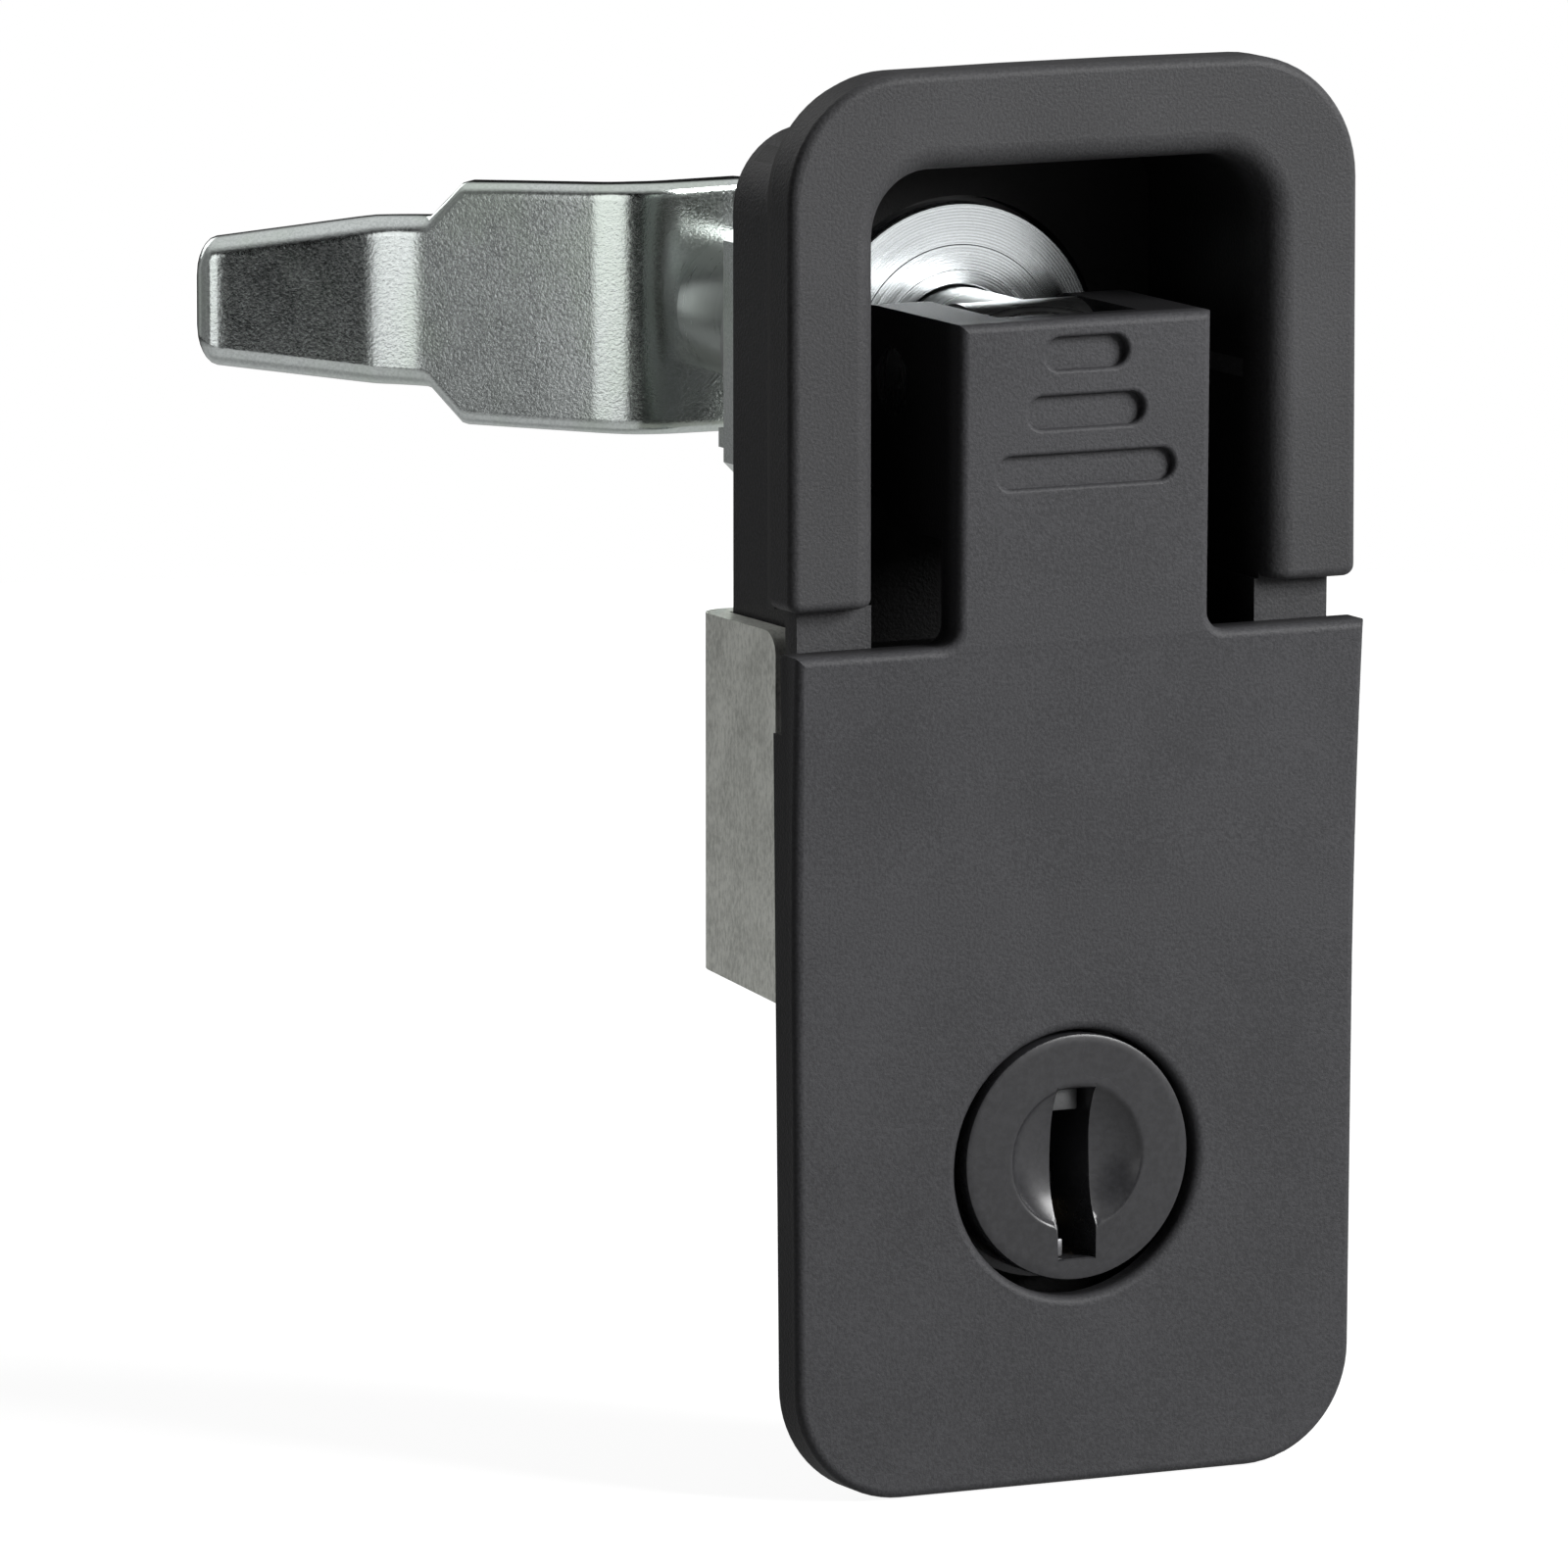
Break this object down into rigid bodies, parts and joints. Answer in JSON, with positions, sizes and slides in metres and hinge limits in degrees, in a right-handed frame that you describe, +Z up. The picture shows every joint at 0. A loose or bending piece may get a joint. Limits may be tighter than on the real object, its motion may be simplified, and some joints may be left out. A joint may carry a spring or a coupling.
{
  "type": "compression cabinet lock",
  "caption": "Lift-and-turn compression latch for a cabinet door, with an offset cam, a rear clamp bracket and a key lock in its lever.",
  "frame": {"origin": "on the spindle's axis, in the plane of the panel that the flange and its gasket sit on", "axes": "+Y to the rear, through the panel and along the spindle; +Z up, from the key lock to the finger recess; +X to the right, seen from the front"},
  "size_m": [0.0416, 0.0558, 0.0734],
  "materials": {
    "black_coat": "fine-textured matt black powder coat on a zinc casting",
    "black_rubber": "matt",
    "black_plastic": "matt",
    "turned_steel": "turned, zinc plated",
    "dark_steel": "dull, phosphated",
    "zinc_sheet": "pressed sheet, blue-white zinc plate",
    "dull_sheet": "pressed sheet, dull zinc plate",
    "barrel_metal": "die-cast zinc alloy",
    "plug_black": "satin black",
    "wafer_brass": "stamped"
  },
  "bodies": {
    "housing": {"housing": "black_coat", "panel_gasket": "black_rubber", "clamp_bracket": "dull_sheet", "bracket_screws": "zinc_sheet", "thrust_disc": "turned_steel", "disc_washer": "black_plastic", "spindle_seal": "black_rubber", "stop_plate": "zinc_sheet", "return_spring": "dark_steel", "lock_barrel": "barrel_metal", "barrel_clip": "dark_steel"},
    "draw": {"spring_washer": "turned_steel"},
    "spindle": {"spindle": "turned_steel", "retaining_ring": "dark_steel", "cam": "zinc_sheet", "cam_lock_washer": "zinc_sheet", "cam_nut": "zinc_sheet"},
    "lever": {"lever_handle": "black_coat", "lever_pin": "turned_steel"},
    "plug": {"lock_plug": "plug_black", "wafers": "wafer_brass", "plug_tail_washer": "zinc_sheet", "lock_tongue": "zinc_sheet"}
  },
  "joints": [
    {"name": "spindle_draw", "type": "slide", "parent": "housing", "child": "draw", "axis": [0, 1, 0], "range_m": [0, 0.0029]},
    {"name": "spindle_turn", "type": "hinge", "parent": "draw", "child": "spindle", "pos_m": [0, 0, 0], "axis": [0, 1, 0], "range_deg": [0, 90]},
    {"name": "lever_lift", "type": "hinge", "parent": "spindle", "child": "lever", "pos_m": [0, 0.0035, 0], "axis": [-1, 0, 0], "range_deg": [0, 90]},
    {"name": "plug_turn", "type": "hinge", "parent": "housing", "child": "plug", "pos_m": [0, 0, -0.0398], "axis": [0, 1, 0], "range_deg": [0, 90]}
  ],
  "couplings": [
    {"joint": "spindle_draw", "follows": "lever_lift", "m_per_rad": 0.001846},
    {"joint": "spindle_turn", "follows": "lever_lift", "ratio": 1}
  ]
}
